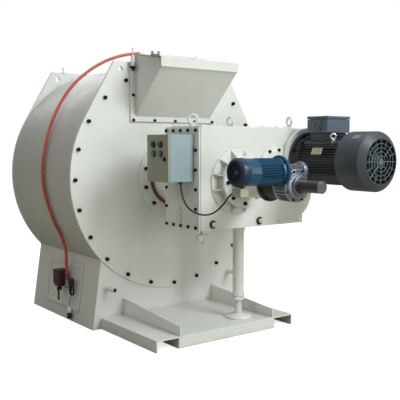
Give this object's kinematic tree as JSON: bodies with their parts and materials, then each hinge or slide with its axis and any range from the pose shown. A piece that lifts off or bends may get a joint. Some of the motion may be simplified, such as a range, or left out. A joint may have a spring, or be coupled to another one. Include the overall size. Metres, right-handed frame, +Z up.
{
  "type": "drum refiner mill",
  "caption": "Horizontal drum refiner mill with feed chute, geared rotor pressing bars against a ribbed liner, motor-driven pressure adjuster, control box, support jack and water hose.",
  "frame": {"origin": "on the floor under the middle of the drum, on the underside of the base box", "axes": "+Z up; the drum axis runs along Y and the gearbox, motors and feed chute are at the -Y end; +X is towards the main motor"},
  "size_m": [1.5013, 2.3643, 1.775],
  "materials": {
    "cream_paint": "semi-gloss cream enamel",
    "drum_paint": "semi-gloss cream enamel",
    "box_paint": "satin light grey enamel",
    "door_paint": "satin grey-green enamel",
    "motor_paint": "satin dark grey enamel",
    "blue_paint": "gloss blue enamel",
    "dark_paint": "satin dark brown enamel",
    "cast_alloy": "fine cast, silver",
    "turned_steel": "turned",
    "grey_iron": "as cast",
    "black_plastic": "matt",
    "maroon_plastic": "matt",
    "green_plastic": "gloss",
    "grey_plastic": "gloss",
    "lead_jacket": "matt",
    "hose_rubber": "satin"
  },
  "bodies": {
    "frame": {"base_box": "cream_paint", "side_inspection_cover": "cream_paint", "skid_channel_left": "cream_paint", "skid_channel_right": "cream_paint", "service_tray": "cream_paint", "drum_jacket": "drum_paint", "drum_liner": "grey_iron", "front_plate": "cream_paint", "rear_plate": "cream_paint", "feed_chute": "cream_paint", "hub_housing": "cream_paint", "gearbox_case": "cream_paint", "gearbox_side_cover": "cream_paint", "main_bearing_cap": "cream_paint", "layshaft_cap": "cream_paint", "motor_adapter_ring": "cream_paint", "rear_bearing_housing": "cream_paint", "main_motor_frame": "motor_paint", "main_motor_cowl": "motor_paint", "main_motor_terminal_box": "motor_paint", "spindle_housing": "dark_paint", "worm_housing": "cast_alloy", "spindle_tube": "motor_paint", "adjuster_motor_frame": "blue_paint", "adjuster_motor_cowl": "blue_paint", "control_box": "box_paint", "control_cable": "lead_jacket", "jack_tube": "cream_paint", "water_valve": "maroon_plastic", "red_hose": "hose_rubber", "sensor_lead_top": "lead_jacket", "sensor_hank": "lead_jacket", "sensor_lead_tail": "lead_jacket", "sensor_plug": "black_plastic"},
    "rotor": {"rotor_shaft": "turned_steel", "main_gear": "turned_steel"},
    "spider": {"thrust_spider": "grey_iron"},
    "bar_1": {"grinding_bar_1": "grey_iron"},
    "bar_2": {"grinding_bar_2": "grey_iron"},
    "bar_3": {"grinding_bar_3": "grey_iron"},
    "bar_4": {"grinding_bar_4": "grey_iron"},
    "layshaft_set": {"layshaft": "turned_steel", "layshaft_gear": "turned_steel"},
    "second_set": {"second_shaft": "turned_steel", "second_gear": "turned_steel"},
    "main_motor_rotor": {"main_motor_shaft": "turned_steel", "main_motor_fan": "black_plastic"},
    "adjuster_rotor": {"adjuster_shaft": "turned_steel"},
    "worm_nut": {"worm_wheel": "turned_steel"},
    "rod": {"pull_rod": "turned_steel"},
    "lid": {"chute_lid": "cream_paint"},
    "door": {"control_door": "door_paint"},
    "green_1": {"green_button_1": "green_plastic"},
    "green_2": {"green_button_2": "green_plastic"},
    "grey_1": {"grey_button_1": "grey_plastic"},
    "grey_2": {"grey_button_2": "grey_plastic"},
    "lock": {"key_lock": "black_plastic"},
    "nut": {"jack_nut": "cream_paint"},
    "screw": {"jack_screw": "cream_paint"},
    "lever": {"valve_lever": "black_plastic"}
  },
  "joints": [
    {"name": "rotor_turn", "type": "hinge", "parent": "frame", "child": "rotor", "pos_m": [0, -0.464, 0.932], "axis": [0, 1, 0], "continuous": true},
    {"name": "layshaft_turn", "type": "hinge", "parent": "frame", "child": "layshaft_set", "pos_m": [0.28704, -0.914, 1.01921], "axis": [0, 1, 0], "continuous": true},
    {"name": "second_shaft_turn", "type": "hinge", "parent": "frame", "child": "second_set", "pos_m": [0.43934, -0.914, 0.85359], "axis": [0, 1, 0], "continuous": true},
    {"name": "main_motor_turn", "type": "hinge", "parent": "frame", "child": "main_motor_rotor", "pos_m": [0.54636, -1.164, 1.05151], "axis": [0, 1, 0], "continuous": true},
    {"name": "adjuster_turn", "type": "hinge", "parent": "frame", "child": "adjuster_rotor", "pos_m": [0, -1.584, 1.007], "axis": [1, 0, 0], "range_deg": [0, 32400]},
    {"name": "worm_wheel_turn", "type": "hinge", "parent": "frame", "child": "worm_nut", "pos_m": [0, -1.584, 0.932], "axis": [0, 1, 0], "range_deg": [0, 1080]},
    {"name": "rod_pull", "type": "slide", "parent": "frame", "child": "rod", "axis": [0, -1, 0], "range_m": [0, 0.03]},
    {"name": "spider_slide", "type": "slide", "parent": "rotor", "child": "spider", "axis": [0, -1, 0], "range_m": [0, 0.03]},
    {"name": "bar_1_press", "type": "slide", "parent": "rotor", "child": "bar_1", "axis": [0.7071, 0, 0.7071], "range_m": [0, 0.008]},
    {"name": "bar_2_press", "type": "slide", "parent": "rotor", "child": "bar_2", "axis": [-0.7071, 0, 0.7071], "range_m": [0, 0.008]},
    {"name": "bar_3_press", "type": "slide", "parent": "rotor", "child": "bar_3", "axis": [-0.7071, 0, -0.7071], "range_m": [0, 0.008]},
    {"name": "bar_4_press", "type": "slide", "parent": "rotor", "child": "bar_4", "axis": [0.7071, 0, -0.7071], "range_m": [0, 0.008]},
    {"name": "lid_hinge", "type": "hinge", "parent": "frame", "child": "lid", "pos_m": [0, -0.466, 1.712], "axis": [-1, 0, 0], "range_deg": [0, 85]},
    {"name": "door_hinge", "type": "hinge", "parent": "frame", "child": "door", "pos_m": [-0.4303, -0.864, 1.068], "axis": [0, 0, -1], "range_deg": [0, 120]},
    {"name": "green_1_press", "type": "slide", "parent": "door", "child": "green_1", "axis": [1, 0, 0], "range_m": [0, 0.004], "stiffness_N_per_m": 500},
    {"name": "green_2_press", "type": "slide", "parent": "door", "child": "green_2", "axis": [1, 0, 0], "range_m": [0, 0.004], "stiffness_N_per_m": 500},
    {"name": "grey_1_press", "type": "slide", "parent": "door", "child": "grey_1", "axis": [1, 0, 0], "range_m": [0, 0.004], "stiffness_N_per_m": 500},
    {"name": "grey_2_press", "type": "slide", "parent": "door", "child": "grey_2", "axis": [1, 0, 0], "range_m": [0, 0.004], "stiffness_N_per_m": 500},
    {"name": "key_turn", "type": "hinge", "parent": "door", "child": "lock", "pos_m": [-0.44, -1.048, 1.064], "axis": [1, 0, 0], "range_deg": [0, 90]},
    {"name": "jack_nut_turn", "type": "hinge", "parent": "frame", "child": "nut", "pos_m": [0.158, -0.949, 0.193], "axis": [0, 0, 1], "range_deg": [0, 4800]},
    {"name": "jack_lift", "type": "slide", "parent": "frame", "child": "screw", "axis": [0, 0, 1], "range_m": [0, 0.08]},
    {"name": "valve_lever_turn", "type": "hinge", "parent": "frame", "child": "lever", "pos_m": [-0.626, -0.052, 0.2007], "axis": [1, 0, 0], "range_deg": [0, 90]}
  ],
  "couplings": [
    {"joint": "layshaft_turn", "follows": "rotor_turn", "ratio": -4},
    {"joint": "second_shaft_turn", "follows": "rotor_turn", "ratio": 14},
    {"joint": "main_motor_turn", "follows": "rotor_turn", "ratio": -28},
    {"joint": "worm_wheel_turn", "follows": "adjuster_turn", "ratio": 0.033333},
    {"joint": "rod_pull", "follows": "adjuster_turn", "m_per_rad": 0.000053052},
    {"joint": "spider_slide", "follows": "adjuster_turn", "m_per_rad": 0.000053052},
    {"joint": "bar_1_press", "follows": "adjuster_turn", "m_per_rad": 0.000014147},
    {"joint": "bar_2_press", "follows": "adjuster_turn", "m_per_rad": 0.000014147},
    {"joint": "bar_3_press", "follows": "adjuster_turn", "m_per_rad": 0.000014147},
    {"joint": "bar_4_press", "follows": "adjuster_turn", "m_per_rad": 0.000014147},
    {"joint": "jack_lift", "follows": "jack_nut_turn", "m_per_rad": 0.00095493}
  ]
}
